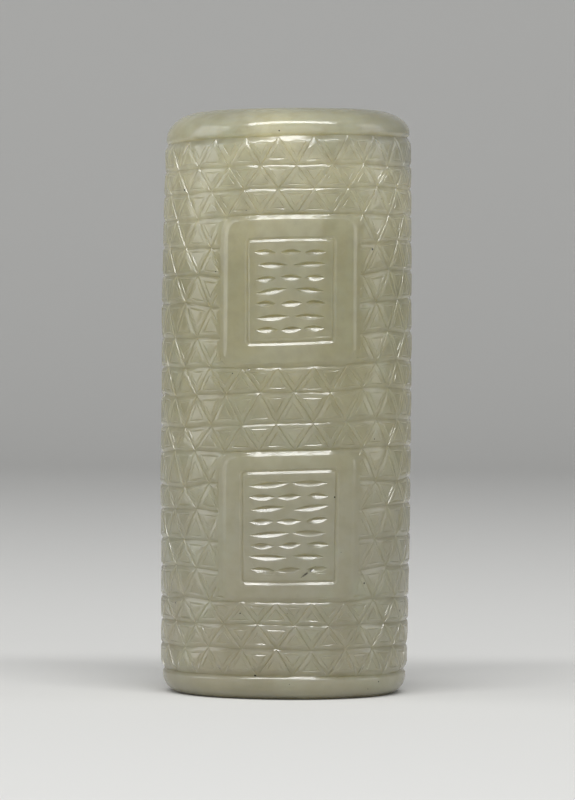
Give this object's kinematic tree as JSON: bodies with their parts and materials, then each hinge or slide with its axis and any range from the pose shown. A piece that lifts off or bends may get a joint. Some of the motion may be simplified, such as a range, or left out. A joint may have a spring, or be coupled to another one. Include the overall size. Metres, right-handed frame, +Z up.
{
  "type": "carved stone tube bead",
  "caption": "Cylindrical jade bead drilled lengthwise for a cord, with rounded collars, rows of carved triangles round the body and smooth framed plaques on the front.",
  "frame": {"origin": "centre of the lower end face, on the axis of the bore", "axes": "+Z up along the bore, +X to the viewer's right, -Y out of the front, which the plaques face"},
  "size_m": [0.026, 0.026, 0.06],
  "materials": {
    "jade": "polished"
  },
  "bodies": {
    "root": {"bead_stone": "jade"}
  },
  "joints": []
}
